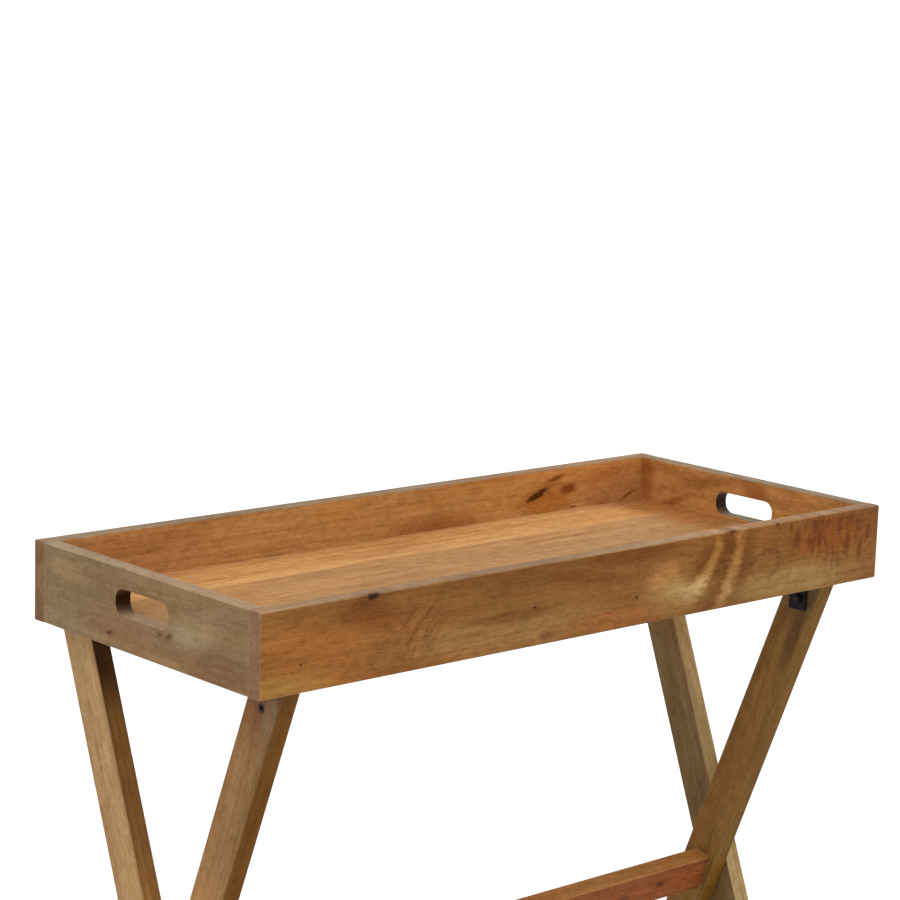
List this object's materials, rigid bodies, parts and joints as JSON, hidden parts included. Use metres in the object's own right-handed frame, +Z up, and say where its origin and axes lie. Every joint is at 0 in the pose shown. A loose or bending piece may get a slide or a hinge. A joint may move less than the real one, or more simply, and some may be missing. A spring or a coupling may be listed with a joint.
{
  "type": "folding tray table",
  "caption": "Deep rectangular wooden tray with handle slots in its ends, on a folding X-leg stand; the tray tips up on two steel brackets as the legs close.",
  "frame": {"origin": "on the ground, midway between the four feet, under the middle of the tray", "axes": "+X along the tray's long side, +Y across the tray from its hinged side to the side that lifts, +Z up"},
  "size_m": [0.8, 0.34, 0.77],
  "materials": {
    "rim_wood": "waxed, strongly figured hardwood",
    "floor_wood": "waxed, light hardwood",
    "leg_wood": "waxed, darker hardwood",
    "dowel_wood": "plain beech",
    "black_steel": "black powder coat",
    "zinc_steel": "zinc plated"
  },
  "bodies": {
    "inner_frame": {"inner_leg_left": "leg_wood", "inner_leg_right": "leg_wood", "centre_rail": "leg_wood", "inner_low_rail": "leg_wood", "inner_rail_dowels": "dowel_wood", "hinge_screw_left": "black_steel", "hinge_screw_right": "black_steel", "hinge_nuts": "black_steel", "cross_bolt_left": "zinc_steel", "cross_bolt_right": "zinc_steel", "cross_washers": "zinc_steel", "barrel_nuts": "zinc_steel"},
    "outer_frame": {"outer_leg_left": "leg_wood", "outer_leg_right": "leg_wood", "outer_top_rail": "leg_wood", "outer_low_rail": "leg_wood", "outer_rail_dowels": "dowel_wood"},
    "tray": {"tray_front_board": "rim_wood", "tray_back_board": "rim_wood", "tray_left_end": "rim_wood", "tray_right_end": "rim_wood", "floor_plank_1": "floor_wood", "floor_plank_2": "floor_wood", "floor_plank_3": "floor_wood", "floor_plank_4": "floor_wood", "floor_cleat_left": "floor_wood", "floor_cleat_middle": "floor_wood", "floor_cleat_right": "floor_wood", "corner_dowels": "dowel_wood", "cleat_screws": "zinc_steel", "hinge_bracket_left": "black_steel", "hinge_bracket_right": "black_steel", "bracket_screws": "black_steel"}
  },
  "joints": [
    {"name": "tray_tilt", "type": "hinge", "parent": "inner_frame", "child": "tray", "pos_m": [0, -0.1215, 0.6705], "axis": [1, 0, 0], "range_deg": [0, 111]},
    {"name": "leg_fold", "type": "hinge", "parent": "inner_frame", "child": "outer_frame", "pos_m": [0, 0, 0.354], "axis": [1, 0, 0], "range_deg": [0, 37]}
  ],
  "couplings": [
    {"joint": "leg_fold", "follows": "tray_tilt", "ratio": 0.33333}
  ]
}
